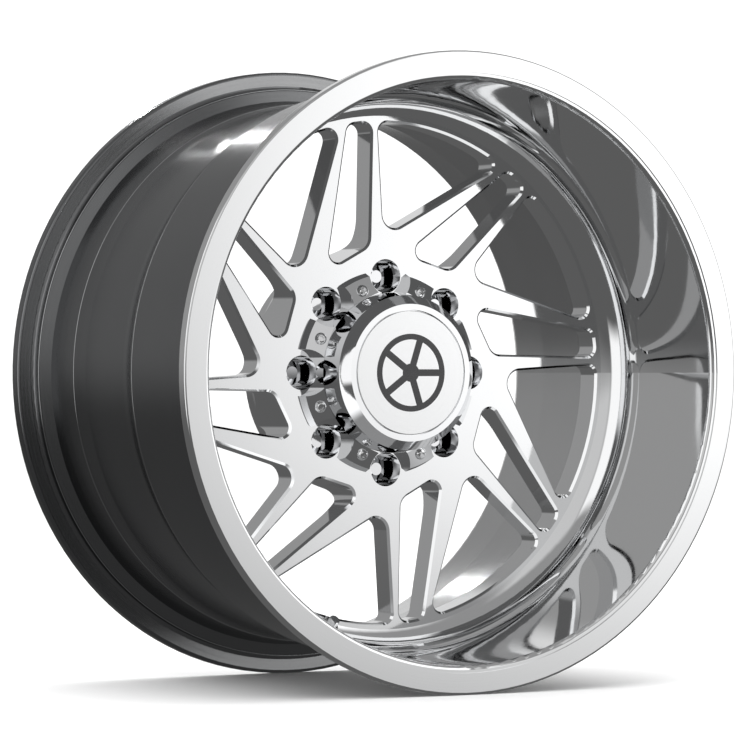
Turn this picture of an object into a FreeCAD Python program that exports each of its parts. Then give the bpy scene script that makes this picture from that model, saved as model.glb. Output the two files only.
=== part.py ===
import FreeCAD, Part
import math
import os
import re

import Sketcher

# A forged two-piece racing wheel, 20 x 12 inch, with its hub cap, lug nuts and tyre valve.
#
# The wheel turns about the Y axis and the origin is its middle: on that axis, halfway between the two
# outer flange faces. -Y is the outboard (show) side, +Z is up, +X is to the right of someone who faces
# the outboard side. Lengths are millimetres and angles are degrees.
#
# Every body is drawn in a frame of its own in which y is the depth: the distance from the outboard
# flange face towards the vehicle. Its Placement then puts that frame where the body sits in the wheel.

LUGS = 8

# Driving dimensions: alias, value and meaning. "_r" is a radius, "_depth" is measured from the outboard
# flange face, "_lean" is the direction of an edge in the face plane and "_off" its distance from the axis.
SIZES = [
    # Rim contour, tyre side
    ("rim_width", 328.0, "overall width over both flanges"),
    ("flange_r", 274.7, "outer radius of both flanges"),
    ("flange_thick", 11.6, "flange thickness"),
    ("flange_tip", 3.0, "round of the flange tip on the tyre side"),
    ("flange_edge", 2.0, "round of the flange tip on the outer face"),
    ("seat_r", 257.8, "bead seat where it would meet the outboard flange"),
    ("seat_end_r", 256.0, "bead seat at the foot of the hump"),
    ("seat_end_depth", 32.0, "outboard end of the hump"),
    ("seat_fillet", 6.5, "round between outboard flange and bead seat"),
    ("hump_width", 9.0, "safety hump, foot to foot"),
    ("hump_rise", 1.5, "safety hump height"),
    ("front_band_r", 251.0, "barrel behind the outboard hump"),
    ("front_band_depth", 50.0, "where that band starts"),
    ("front_band_round", 20.0, "round into that band"),
    ("shoulder_r", 250.3, "barrel where the drop starts"),
    ("shoulder_depth", 143.0, "depth where the drop starts"),
    ("drop_r", 249.3, "start of the concave part of the drop"),
    ("drop_depth", 148.0, "its depth"),
    ("well_r", 240.6, "drop well"),
    ("well_depth", 178.0, "outboard end of the well"),
    ("well_end_depth", 250.0, "inboard end of the well"),
    ("rear_crease_r", 243.0, "crease behind the well"),
    ("rear_crease_depth", 269.0, "its depth"),
    ("rear_band_r", 247.5, "end of the inboard cone band"),
    ("rear_band_depth", 304.0, "its depth"),
    ("rear_hump_r", 258.3, "crest of the inboard hump"),
    ("rear_hump_depth", 307.6, "its depth"),
    ("rear_hump_round", 1.6, "round of that crest"),
    ("rear_seat_r", 257.6, "inboard bead seat at the flange"),
    ("rear_fillet", 4.0, "round between that seat and the flange"),
    # Barrel, inside
    ("face_inner_r", 256.0, "inner edge of the outboard flange face"),
    ("face_step", 1.0, "step inside that face"),
    ("lip_mouth_r", 249.7, "mouth of the lip"),
    ("lip_mouth_depth", 4.7, "depth of the mouth"),
    ("lip_root_r", 246.5, "lip wall where the root fillet starts"),
    ("lip_root_depth", 111.5, "its depth"),
    ("lip_fillet", 33.0, "root fillet between lip and centre"),
    ("register_r", 240.5, "register that holds the centre"),
    ("register_depth", 146.0, "shoulder behind the centre's flange"),
    ("inner_wall_r", 233.6, "brake-side wall of the barrel"),
    ("mouth_taper_r", 241.5, "start of the inboard mouth"),
    ("mouth_taper_depth", 309.0, "its depth"),
    ("mouth_r", 252.0, "inboard mouth"),
    # Spoke centre
    ("face_depth", 142.0, "front face of the centre"),
    ("rear_rim_r", 233.2, "outer radius of the centre behind the register"),
    ("rear_rim_depth", 166.5, "flat back of the spokes and the outer land"),
    ("spoke_back_r", 112.0, "where the spoke backs would meet the hub"),
    ("hub_fillet", 30.0, "round between spoke backs and hub"),
    ("pad_r", 106.0, "hub pad"),
    ("pad_depth", 208.0, "mounting face"),
    ("pad_chamfer", 1.5, "chamfers of pad and centre bore"),
    ("bore_r", 62.5, "centre bore"),
    ("window_r", 220.3, "outer edge of all windows"),
    ("long_lean", 28.1, "long edge under slot and window"),
    ("long_off", 106.5, "its distance from the axis"),
    ("slot_right_lean", 88.8, "right edge of a slot"),
    ("slot_right_off", 18.9, "its distance from the axis"),
    ("slot_left_lean", 80.7, "left edge of a slot"),
    ("slot_left_off", 72.4, "its distance from the axis"),
    ("window_left_lean", 93.5, "left edge of a large window"),
    ("window_left_off", 6.4, "its distance from the axis"),
    ("small_corner", 8.5, "outer corners of slots and windows, foot of a slot"),
    ("large_corner", 12.0, "inner corners of slots and windows"),
    ("window_chamfer", 2.0, "chamfer of the window edges"),
    ("relief_r", 11.0, "relief pockets in the mounting face"),
    ("relief_circle_r", 88.0, "circle of the relief pockets"),
    ("relief_deep", 22.0, "depth of the relief pockets"),
    # Lug holes and nuts
    ("lug_circle_r", 85.0, "lug circle"),
    ("lug_hole_r", 8.0, "stud hole"),
    ("lug_pocket_r", 15.0, "socket pocket"),
    ("lug_floor_depth", 190.0, "pocket floor"),
    ("lug_seat_r", 11.5, "mouth of the 60 degree cone seat"),
    ("nut_gap", 0.17, "radial gap between nut and seat"),
    ("nut_top_depth", 158.5, "closed end of the nut"),
    ("nut_flat", 10.5, "half of the 21 mm across the flats"),
    ("nut_crown_r", 5.5, "flat on the closed end"),
    ("nut_crown", 4.2, "height of the chamfered end"),
    ("nut_collar_r", 12.6, "collar above the cone"),
    ("nut_collar", 2.2, "thickness of the collar"),
    ("nut_thread_r", 6.2, "thread of the nut"),
    ("nut_thread_top_depth", 168.0, "closed end of the thread"),
    # Collar round the cap
    ("collar_r", 89.6, "teeth at the face"),
    ("collar_top_r", 86.9, "teeth above the steep outer bevel"),
    ("collar_core_r", 70.5, "core ring that joins the teeth"),
    ("collar_bore_r", 66.1, "thread for the cap"),
    ("collar_ledge_r", 63.5, "ledge under the cap's spigot"),
    ("collar_ledge", 3.0, "thickness of that ledge"),
    ("collar_height", 13.0, "height of the core ring"),
    ("facet_lean", 19.9, "slope of the flat facet of a tooth"),
    ("scallop_r", 20.5, "scallops round the lug pockets"),
    ("screw_circle_r", 77.4, "screw on the facet, from the axis"),
    ("screw_r", 3.0, "M6 shank"),
    ("screw_length", 20.0, "shank length"),
    ("screw_head_r", 5.25, "button head"),
    ("screw_head", 3.3, "height of the head"),
    ("screw_socket_r", 2.3, "hexagon socket, corner radius"),
    ("screw_socket", 2.0, "depth of the socket"),
    # Hub cap
    ("cap_r", 70.4, "cap wall at the collar"),
    ("cap_top_r", 67.7, "cap wall below the bevel"),
    ("cap_wall_height", 36.0, "height where the bevel starts"),
    ("cap_height", 43.8, "height of the cap"),
    ("cap_bevel_r", 60.0, "top of the bevel"),
    ("cap_wall", 3.6, "thickness of the cap under its face plate"),
    ("cap_spigot_r", 66.0, "threaded spigot in the collar"),
    ("cap_inner_r", 62.8, "inside of the cap"),
    ("cap_seam", 0.15, "parting line between cap and collar"),
    ("plate_space_r", 55.0, "recess for the face plate"),
    ("plate_r", 54.1, "face plate"),
    ("plate_thick", 2.2, "thickness of the face plate"),
    ("plate_round", 0.6, "edge of the face plate"),
    ("emblem_r", 34.0, "emblem ring, outside"),
    ("emblem_ring", 5.0, "width of the emblem ring"),
    ("emblem_hub_r", 8.0, "boss of the emblem"),
    ("emblem_spoke", 6.0, "width of the emblem's spokes"),
    ("emblem_thick", 0.5, "thickness of the emblem"),
    ("ring_r", 66.7, "middle of the O-ring"),
    ("ring_wire_r", 1.3, "O-ring section"),
    ("ring_groove_half", 1.6, "half the width of the O-ring groove"),
    # Tyre valve; its own depths run along its axis from the front face of the centre
    ("valve_lean", 40.0, "tilt of the valve against the wheel's axis"),
    ("valve_around", 255.5, "where the valve is, from +X towards +Z"),
    ("valve_r", 228.2, "where its axis leaves the front face"),
    ("valve_start_depth", 141.0, "depth of that point"),
    ("valve_hole_r", 4.3, "valve hole"),
    ("valve_front_r", 8.5, "front counterbore"),
    ("valve_front_floor", 5.0, "floor of the front counterbore"),
    ("valve_rear_r", 7.0, "spot face on the tyre side"),
    ("valve_rear_floor", 20.0, "floor of that spot face"),
    ("grommet_thick", 2.5, "grommet"),
    ("stem_head_r", 6.6, "stem head"),
    ("stem_head", 3.0, "thickness of the stem head"),
    ("stem_r", 4.0, "stem"),
    ("stem_proud", 7.0, "stem beyond the front face"),
    ("core_bore_r", 2.6, "bore for the valve core"),
    ("core_bore_end", 4.0, "end of that bore"),
    ("air_r", 1.7, "air passage"),
    ("core_r", 2.5, "valve core"),
    ("core_top", 5.6, "core body beyond the front face"),
    ("core_end", 2.0, "inner end of the core body"),
    ("spring_space_r", 1.5, "spring chamber in the core"),
    ("spring_space_end", 0.5, "floor of the spring chamber"),
    ("pin_r", 0.55, "core pin"),
    ("pin_guide_r", 0.75, "guide hole of the pin"),
    ("pin_top", 6.6, "pin beyond the front face"),
    ("pin_end", 7.5, "inner end of the pin"),
    ("pin_collar_r", 1.25, "collars of the pin"),
    ("pin_collar_top", 5.0, "spring collar beyond the front face"),
    ("pin_collar", 0.6, "thickness of the collars"),
    ("spring_wire_r", 0.14, "spring wire"),
    ("spring_coil_r", 0.9, "middle of the spring coil"),
    ("spring_pitch", 0.62, "spring pitch"),
    ("spring_length", 3.1, "spring length, middle of wire"),
    ("valve_nut_flat", 6.0, "half of the 12 mm across the flats"),
    ("valve_nut", 4.4, "thickness of the nut"),
    ("washer_r", 7.3, "washer"),
    ("washer_thick", 1.2, "its thickness"),
    ("dust_cap_r", 4.9, "dust cap"),
    ("knurl_r", 0.35, "groove of the dust cap's grip"),
    ("dust_cap_bore_r", 4.15, "thread of the dust cap"),
    ("dust_cap_open", -1.0, "open end of the dust cap"),
    ("dust_cap_seat", 7.9, "roof inside the dust cap"),
    ("dust_cap_top", 9.6, "top of the dust cap"),
]

CONE_SEAT_SLOPE = "tan(30 deg)"


def cells(text):
    """Point each plain name of an expression at its cell of the Size sheet."""
    return re.sub(r"\b([a-z]\w*_\w+)\b", r"Size.\1", text)


def make_sheet(document):
    sheet = document.addObject("Spreadsheet::Sheet", "Size")
    for row, (alias, value, meaning) in enumerate(SIZES, start=1):
        sheet.set(f"A{row}", meaning)
        sheet.set(f"B{row}", str(value))
        sheet.setAlias(f"B{row}", alias)
    document.recompute()
    return sheet


doc = FreeCAD.newDocument("racing_wheel")
size = make_sheet(doc)


def value_of(text):
    """Value of an expression of plain names, such as "flange_r - flange_tip"."""
    result = size.evalExpression(cells(text))
    return float(getattr(result, "Value", result))


def bind(feature, **expressions):
    """Bind properties of a feature to expressions of plain names."""
    for name, text in expressions.items():
        feature.setExpression(name, cells(text))


# ---- placements --------------------------------------------------------------------------------------

def wheel_place():
    return FreeCAD.Placement(FreeCAD.Vector(0, -value_of("rim_width / 2"), 0), FreeCAD.Rotation())


def turned_place(angle):
    """The wheel's frame turned about the axis, so that local +X points the given way round from +X."""
    turn = FreeCAD.Rotation(FreeCAD.Vector(0, 1, 0), -angle)
    return FreeCAD.Placement(wheel_place().Base, turn)


def lug_angle(index):
    """Lugs are numbered clockwise from the top, as seen from the outboard side."""
    return 90.0 - index * 360.0 / LUGS


def lug_place(index):
    angle = math.radians(lug_angle(index))
    radius = value_of("lug_circle_r")
    offset = FreeCAD.Vector(radius * math.cos(angle), 0, radius * math.sin(angle))
    return FreeCAD.Placement(wheel_place().Base + offset, FreeCAD.Rotation())


def valve_place(base):
    """Frame whose origin is where the valve axis leaves the front face and whose +Y runs inboard."""
    around = math.radians(value_of("valve_around"))
    lean = math.radians(value_of("valve_lean"))
    outward = FreeCAD.Vector(math.cos(around), 0, math.sin(around))
    start = base + outward * value_of("valve_r") + FreeCAD.Vector(0, value_of("valve_start_depth"), 0)
    inboard = outward * math.sin(lean) + FreeCAD.Vector(0, math.cos(lean), 0)
    return FreeCAD.Placement(start, FreeCAD.Rotation(FreeCAD.Vector(0, 1, 0), inboard))


# ---- sketches ----------------------------------------------------------------------------------------

ORIGIN = (-1, 1)      # the sketch's own origin point, as a (geometry, point) pair
START = 1
END = 2
CENTRE = 3


class Arc:
    """Side of an outline that is an arc; turn is +1 for anticlockwise travel and -1 for clockwise."""

    def __init__(self, radius, turn):
        self.radius = radius
        self.turn = turn


def new_body(label, place):
    body = doc.addObject("PartDesign::Body", label)
    body.Label = label
    body.Placement = place
    return body


def origin_part(body, role):
    return next(part for part in body.Origin.OriginFeatures if part.Role == role)


def new_sketch(body, name, role):
    sketch = body.newObject("Sketcher::SketchObject", f"{body.Label}_{name}")
    sketch.AttachmentSupport = (origin_part(body, role), [""])
    sketch.MapMode = "FlatFace"
    return sketch


def constrain(sketch, plain, bound):
    """Add plain constraints, and constraints whose value follows an expression of plain names."""
    first = len(sketch.Constraints) + len(plain)
    sketch.addConstraint(plain + [constraint for constraint, _ in bound])
    for index, (_, text) in enumerate(bound, start=first):
        sketch.setExpression(f"Constraints[{index}]", cells(text))


def place_point(geometry, point, x_text, y_text):
    """The two distances that put a point of the sketch at expressions of plain names."""
    across = Sketcher.Constraint("DistanceX", *ORIGIN, geometry, point, value_of(x_text))
    along = Sketcher.Constraint("DistanceY", *ORIGIN, geometry, point, value_of(y_text))
    return [(across, x_text), (along, y_text)]


def add_line(sketch, start, end):
    """Add a straight side; returns its number and which of its ends are the first and the last."""
    return sketch.addGeometry(Part.LineSegment(start, end), False), START, END


def add_arc(sketch, start, middle, end):
    """Add an arc, anticlockwise as sketches keep them; returns the same as add_line."""
    if (middle - start).cross(end - middle).z > 0:
        return sketch.addGeometry(Part.Arc(start, middle, end), False), START, END
    return sketch.addGeometry(Part.Arc(end, middle, start), False), END, START


def arc_middle(start, end, side):
    """Middle of the arc from start to end that is less than half a turn."""
    chord = end - start
    radius = value_of(side.radius)
    rise = math.sqrt(radius ** 2 - chord.Length ** 2 / 4)
    left = FreeCAD.Vector(-chord.y, chord.x, 0).normalize()
    return (start + end) / 2 + left * (rise - radius) * side.turn


def corner_round(before, corner, after, radius):
    """The two ends and the middle of a round of the given radius at a corner of two straight sides."""
    to_before = (before - corner).normalize()
    to_after = (after - corner).normalize()
    half = to_before.getAngle(to_after) / 2
    reach = radius / math.tan(half)
    middle = corner + (to_before + to_after).normalize() * (radius / math.sin(half) - radius)
    return corner + to_before * reach, middle, corner + to_after * reach


def profile(body, name, items, role="XY_Plane"):
    """Closed outline, fully bound to the sheet.

    The items go round the outline. A corner is (x, y) or, where it is rounded, (x, y, radius); an Arc
    between two corners makes the side between them an arc. Rounded corners join straight sides only.
    """
    sketch = new_sketch(body, name, role)
    corners = [item for item in items if not isinstance(item, Arc)]
    sides = []
    for item in items:
        if isinstance(item, Arc):
            sides[-1] = item
        else:
            sides.append(None)
    count = len(corners)
    points = [FreeCAD.Vector(value_of(corner[0]), value_of(corner[1]), 0) for corner in corners]
    ends = []
    for index, corner in enumerate(corners):
        if len(corner) == 3:
            ends.append(corner_round(points[index - 1], points[index], points[(index + 1) % count],
                                     value_of(corner[2])))
        else:
            ends.append((points[index], None, points[index]))
    side_at = []
    for index, side in enumerate(sides):
        start = ends[index][2]
        end = ends[(index + 1) % count][0]
        if side:
            side_at.append(add_arc(sketch, start, arc_middle(start, end, side), end))
        else:
            side_at.append(add_line(sketch, start, end))
    plain = []
    bound = []
    for index, side in enumerate(sides):
        if side:
            radius = Sketcher.Constraint("Radius", side_at[index][0], value_of(side.radius))
            bound.append((radius, side.radius))
    for index, corner in enumerate(corners):
        before, _, before_end = side_at[index - 1]
        after, after_start, _ = side_at[index]
        if len(corner) == 2:
            plain.append(Sketcher.Constraint("Coincident", before, before_end, after, after_start))
            bound += place_point(after, after_start, corner[0], corner[1])
            continue
        first, middle, last = ends[index]
        rounding, near, far = add_arc(sketch, first, middle, last)
        plain.append(Sketcher.Constraint("Tangent", before, before_end, rounding, near))
        plain.append(Sketcher.Constraint("Tangent", rounding, far, after, after_start))
        apex = sketch.addGeometry(Part.Point(points[index]), True)
        plain.append(Sketcher.Constraint("PointOnObject", apex, START, before))
        plain.append(Sketcher.Constraint("PointOnObject", apex, START, after))
        bound += place_point(apex, START, corner[0], corner[1])
        radius = Sketcher.Constraint("Radius", rounding, value_of(corner[2]))
        bound.append((radius, corner[2]))
    constrain(sketch, plain, bound)
    return sketch


def circle(body, name, x_text, y_text, radius, role="XZ_Plane"):
    sketch = new_sketch(body, name, role)
    centre = FreeCAD.Vector(value_of(x_text), value_of(y_text), 0)
    geometry = sketch.addGeometry(Part.Circle(centre, FreeCAD.Vector(0, 0, 1), value_of(radius)), False)
    bound = place_point(geometry, CENTRE, x_text, y_text)
    bound.append((Sketcher.Constraint("Radius", geometry, value_of(radius)), radius))
    constrain(sketch, [], bound)
    return sketch


class Edge:
    """Straight edge of a window: its direction, its signed distance from the axis (positive when the
    axis lies to its right) and the radius of the corner after it. It is travelled anticlockwise."""

    def __init__(self, lean, offset, corner):
        self.lean = lean
        self.offset = offset
        self.corner = corner

    def direction(self):
        angle = math.radians(value_of(self.lean))
        return FreeCAD.Vector(math.cos(angle), math.sin(angle), 0)

    def left(self):
        along = self.direction()
        return FreeCAD.Vector(-along.y, along.x, 0)

    def foot(self, point):
        return point - self.left() * (self.left().dot(point) - value_of(self.offset))


class Rim:
    """Outer edge of a window: an arc about the axis, travelled anticlockwise."""

    def __init__(self, radius, corner):
        self.radius = radius
        self.corner = corner

    def foot(self, point):
        return FreeCAD.Vector(point).normalize() * value_of(self.radius)


def corner_centre(first, second, radius):
    """Centre of the round, on the inside of both sides, where two window sides meet."""
    straight = [side for side in (first, second) if isinstance(side, Edge)]
    normals = [side.left() for side in straight]
    reach = [value_of(side.offset) + radius for side in straight]
    if len(straight) == 2:
        cross = normals[0].x * normals[1].y - normals[0].y * normals[1].x
        x = (reach[0] * normals[1].y - reach[1] * normals[0].y) / cross
        y = (normals[0].x * reach[1] - normals[1].x * reach[0]) / cross
        return FreeCAD.Vector(x, y, 0)
    rim = second if isinstance(second, Rim) else first
    outer = value_of(rim.radius) - radius
    along = straight[0].direction() * math.sqrt(outer ** 2 - reach[0] ** 2)
    towards = 1 if rim is second else -1
    return normals[0] * reach[0] + along * towards


def window(body, name, sides):
    """Outline of a window in the face plane, from its sides in anticlockwise order."""
    sketch = new_sketch(body, name, "XZ_Plane")
    count = len(sides)
    centres = [corner_centre(side, sides[(index + 1) % count], value_of(side.corner))
               for index, side in enumerate(sides)]
    plain = []
    bound = []
    side_at = []
    for index, side in enumerate(sides):
        start = side.foot(centres[index - 1])
        end = side.foot(centres[index])
        if isinstance(side, Rim):
            middle = (start + end).normalize() * value_of(side.radius)
            geometry, near, far = add_arc(sketch, start, middle, end)
            plain.append(Sketcher.Constraint("Coincident", geometry, CENTRE, *ORIGIN))
            bound.append((Sketcher.Constraint("Radius", geometry, value_of(side.radius)), side.radius))
        else:
            geometry, near, far = add_line(sketch, start, end)
            angle = math.atan2(side.direction().y, side.direction().x)
            lean = Sketcher.Constraint("Angle", geometry, angle)
            full_turn = " - 360" if value_of(side.lean) > 180 else ""
            bound.append((lean, f"({side.lean}{full_turn}) * 1 deg"))
            offset = Sketcher.Constraint("Distance", *ORIGIN, geometry, abs(value_of(side.offset)))
            bound.append((offset, f"abs({side.offset})"))
        side_at.append((geometry, near, far))
    for index, side in enumerate(sides):
        following = sides[(index + 1) % count]
        first = side.foot(centres[index])
        last = following.foot(centres[index])
        outwards = ((first + last) / 2 - centres[index]).normalize()
        middle = centres[index] + outwards * value_of(side.corner)
        rounding, near, far = add_arc(sketch, first, middle, last)
        before, _, before_end = side_at[index]
        after, after_start, _ = side_at[(index + 1) % count]
        plain.append(Sketcher.Constraint("Tangent", before, before_end, rounding, near))
        plain.append(Sketcher.Constraint("Tangent", rounding, far, after, after_start))
        bound.append((Sketcher.Constraint("Radius", rounding, value_of(side.corner)), side.corner))
    constrain(sketch, plain, bound)
    return sketch


# ---- features ----------------------------------------------------------------------------------------

def revolve(body, name, items):
    """Solid of revolution about the body's Y axis."""
    sketch = profile(body, name, items)
    feature = body.newObject("PartDesign::Revolution", f"{body.Label}_{name}_turned")
    feature.Profile = sketch
    feature.ReferenceAxis = (sketch, ["V_Axis"])
    feature.Angle = 360
    return feature


def groove(body, name, items):
    sketch = profile(body, name, items)
    feature = body.newObject("PartDesign::Groove", f"{body.Label}_{name}_turned")
    feature.Profile = sketch
    feature.ReferenceAxis = (sketch, ["V_Axis"])
    feature.Angle = 360
    return feature


def pocket_through(body, sketch):
    """Cut a sketch right through the body, both ways."""
    feature = body.newObject("PartDesign::Pocket", f"{sketch.Name}_cut")
    feature.Profile = sketch
    feature.SideType = "Symmetric"
    feature.Type = "ThroughAll"
    return feature


def drill(body, name, radius, length, frame, end_radius=None):
    """Round or conical hole from the frame's origin along its +Y."""
    kind = "PartDesign::SubtractiveCone" if end_radius else "PartDesign::SubtractiveCylinder"
    feature = body.newObject(kind, f"{body.Label}_{name}")
    upright = FreeCAD.Rotation(FreeCAD.Vector(1, 0, 0), -90)
    feature.Placement = frame.multiply(FreeCAD.Placement(FreeCAD.Vector(), upright))
    if end_radius:
        bind(feature, Radius1=radius, Radius2=end_radius, Height=length)
    else:
        bind(feature, Radius=radius, Height=length)
    return feature


def repeat(body, features, count=LUGS):
    """Repeat features evenly round the body's Y axis."""
    feature = body.newObject("PartDesign::PolarPattern", f"{body.Label}_{features[0].Name}_ring")
    feature.Originals = features
    feature.Axis = (origin_part(body, "Y_Axis"), [""])
    feature.Angle = 360
    feature.Occurrences = count
    body.Tip = feature
    return feature


def at(x_text, y_text, z_text):
    """Frame without rotation, at expressions of plain names."""
    base = FreeCAD.Vector(value_of(x_text), value_of(y_text), value_of(z_text))
    return FreeCAD.Placement(base, FreeCAD.Rotation())


# ---- rim ---------------------------------------------------------------------------------------------

def drill_valve_hole(body):
    """Valve hole with its front counterbore and its spot face on the tyre side."""
    axis = valve_place(FreeCAD.Vector())
    hole_start = axis.multiply(at("0", "-stem_proud", "0"))
    drill(body, "valve_hole", "valve_hole_r", "stem_proud + valve_rear_floor + stem_head", hole_start)
    counterbore_start = axis.multiply(at("0", "-2 * valve_front_r", "0"))
    drill(body, "valve_counterbore", "valve_front_r", "2 * valve_front_r + valve_front_floor",
          counterbore_start)
    spot_face_start = axis.multiply(at("0", "valve_rear_floor", "0"))
    drill(body, "valve_spot_face", "valve_rear_r", "2 * valve_rear_floor", spot_face_start)


def make_barrel():
    body = new_body("barrel", wheel_place())
    hump_end = "seat_end_depth + hump_width"
    rear_wall = "rim_width - flange_thick"
    hump_round = "((hump_width / 2)^2 + hump_rise^2) / (2 * hump_rise)"
    drop_run = "(well_depth - drop_depth)"
    drop_round = f"((drop_r - well_r)^2 + {drop_run}^2) / (2 * (drop_r - well_r))"
    crease_run = "(rear_crease_depth - well_end_depth)"
    crease_round = f"((rear_crease_r - well_r)^2 + {crease_run}^2) / (2 * (rear_crease_r - well_r))"
    crest_fall = "(shoulder_r - drop_r)"
    crest_round = f"({crest_fall}^2 + (drop_depth - shoulder_depth)^2) / (2 * {crest_fall})"
    root_rise = "lip_fillet^2 - (register_r - lip_root_r + lip_fillet)^2"
    revolve(body, "contour", [
        ("flange_r", "0", "flange_edge"),
        ("flange_r", "flange_thick", "flange_tip"),
        ("seat_r", "flange_thick", "seat_fillet"),
        ("seat_end_r", "seat_end_depth"),
        Arc(hump_round, 1),
        ("seat_end_r", hump_end),
        ("front_band_r", "front_band_depth", "front_band_round"),
        ("shoulder_r", "shoulder_depth"),
        Arc(crest_round, 1),
        ("drop_r", "drop_depth"),
        Arc(drop_round, -1),
        ("well_r", "well_depth"),
        ("well_r", "well_end_depth"),
        Arc(crease_round, -1),
        ("rear_crease_r", "rear_crease_depth"),
        ("rear_band_r", "rear_band_depth"),
        ("rear_hump_r", "rear_hump_depth", "rear_hump_round"),
        ("rear_seat_r", rear_wall, "rear_fillet"),
        ("flange_r", rear_wall, "flange_tip"),
        ("flange_r", "rim_width", "flange_edge"),
        ("mouth_r", "rim_width", "flange_tip"),
        ("mouth_taper_r", "mouth_taper_depth", "front_band_round"),
        ("inner_wall_r", "well_end_depth", "front_band_round"),
        ("inner_wall_r", "register_depth"),
        ("register_r", "register_depth"),
        ("register_r", f"lip_root_depth + sqrt({root_rise})"),
        Arc("lip_fillet", -1),
        ("lip_root_r", "lip_root_depth"),
        ("lip_mouth_r", "lip_mouth_depth"),
        Arc("lip_mouth_depth - face_step", 1),
        ("lip_mouth_r + lip_mouth_depth - face_step", "face_step"),
        ("face_inner_r", "face_step"),
        ("face_inner_r", "0"),
    ])
    doc.recompute()
    drill_valve_hole(body)
    return body


# ---- spoke centre ------------------------------------------------------------------------------------

def grown(sides, amount):
    """The same window outline, moved outwards all round."""
    result = []
    for side in sides:
        corner = f"{side.corner} + {amount}"
        if isinstance(side, Rim):
            result.append(Rim(f"{side.radius} + {amount}", corner))
        else:
            result.append(Edge(side.lean, f"{side.offset} - {amount}", corner))
    return result


def cut_window(body, name, sides):
    """A window right through the centre, and the 45 degree chamfer round its front edge."""
    through = pocket_through(body, window(body, name, sides))
    outline = window(body, f"{name}_mouth", grown(sides, "window_chamfer"))
    bind(outline, **{".AttachmentOffset.Base.z": "-face_depth"})
    mouth = body.newObject("PartDesign::Pocket", f"{outline.Name}_cut")
    mouth.Profile = outline
    mouth.Type = "Length"
    mouth.TaperAngle = -45
    bind(mouth, Length="window_chamfer")
    return [through, mouth]


def make_windows(body):
    slot = cut_window(body, "slot", [
        Edge("long_lean", "long_off", "large_corner"),
        Edge("slot_right_lean", "slot_right_off", "small_corner"),
        Rim("window_r", "small_corner"),
        Edge("slot_left_lean + 180", "-slot_left_off", "small_corner"),
    ])
    large = cut_window(body, "large_window", [
        Edge("long_lean", "long_off", "small_corner"),
        Rim("window_r", "small_corner"),
        Edge("window_left_lean + 180", "window_left_off", "large_corner"),
    ])
    doc.recompute()
    repeat(body, slot + large)


def make_lug_holes(body):
    """Socket pocket, 60 degree seat and stud hole of every lug, each ring of them in turn."""
    seat_height = f"(lug_seat_r - lug_hole_r) / {CONE_SEAT_SLOPE}"
    face = radial_frame(math.radians(lug_angle(0)), "lug_circle_r", "face_depth")
    floor = radial_frame(math.radians(lug_angle(0)), "lug_circle_r", "lug_floor_depth")
    for name, radius, length, frame, end_radius in [
            ("lug_pocket", "lug_pocket_r", "lug_floor_depth - face_depth", face, None),
            ("lug_seat", "lug_seat_r", seat_height, floor, "lug_hole_r"),
            ("lug_hole", "lug_hole_r", "pad_depth - lug_floor_depth", floor, None)]:
        cut = drill(body, name, radius, length, frame, end_radius)
        repeat(body, [cut])
        doc.recompute()


def make_spoke_centre():
    body = new_body("spoke_centre", wheel_place())
    fillet_centre = "(lip_root_r - lip_fillet)"
    crease_r = f"{fillet_centre} + sqrt(lip_fillet^2 - (face_depth - lip_root_depth)^2)"
    seam_depth = f"lip_root_depth + sqrt(lip_fillet^2 - (register_r - {fillet_centre})^2)"
    revolve(body, "forging", [
        ("bore_r", "face_depth"),
        (crease_r, "face_depth"),
        Arc("lip_fillet", -1),
        ("register_r", seam_depth),
        ("register_r", "register_depth"),
        ("rear_rim_r", "register_depth"),
        ("rear_rim_r", "rear_rim_depth"),
        ("spoke_back_r", "rear_rim_depth", "hub_fillet"),
        ("pad_r", "pad_depth - pad_chamfer"),
        ("pad_r - pad_chamfer", "pad_depth"),
        ("bore_r + pad_chamfer", "pad_depth"),
        ("bore_r", "pad_depth - pad_chamfer"),
    ])
    groove(body, "ring_groove", [
        ("ring_r - ring_groove_half", "face_depth - ring_wire_r"),
        ("ring_r + ring_groove_half", "face_depth - ring_wire_r"),
        ("ring_r + ring_groove_half", "face_depth + 2 * ring_wire_r"),
        ("ring_r - ring_groove_half", "face_depth + 2 * ring_wire_r"),
    ])
    doc.recompute()
    make_windows(body)
    doc.recompute()
    make_lug_holes(body)
    between_lugs = math.radians(lug_angle(0) + 180.0 / LUGS)
    relief = drill(body, "relief", "relief_r", "relief_deep", radial_frame(
        between_lugs, "relief_circle_r", "pad_depth - relief_deep"))
    repeat(body, [relief])
    screw = drill(body, "screw_hole", "screw_r + 0.05", "screw_length + 1", screw_frame(between_lugs))
    repeat(body, [screw])
    drill_valve_hole(body)
    return body


def radial_frame(angle, radius, depth):
    offset = FreeCAD.Vector(math.cos(angle), 0, math.sin(angle)) * value_of(radius)
    return FreeCAD.Placement(offset + FreeCAD.Vector(0, value_of(depth), 0), FreeCAD.Rotation())


def facet_height():
    """Height above the face of the point of a facet where its screw sits."""
    return "collar_height - (screw_circle_r - collar_core_r) * tan(facet_lean * 1 deg)"


def screw_frame(angle):
    """Frame on a facet whose +Y runs down the screw; angle in radians is where the facet is."""
    lean = math.radians(value_of("facet_lean"))
    outward = FreeCAD.Vector(math.cos(angle), 0, math.sin(angle))
    head = outward * value_of("screw_circle_r")
    head.y = value_of(f"face_depth - ({facet_height()})")
    down = FreeCAD.Vector(0, math.cos(lean), 0) - outward * math.sin(lean)
    return FreeCAD.Placement(head, FreeCAD.Rotation(FreeCAD.Vector(0, 1, 0), down))


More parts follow.
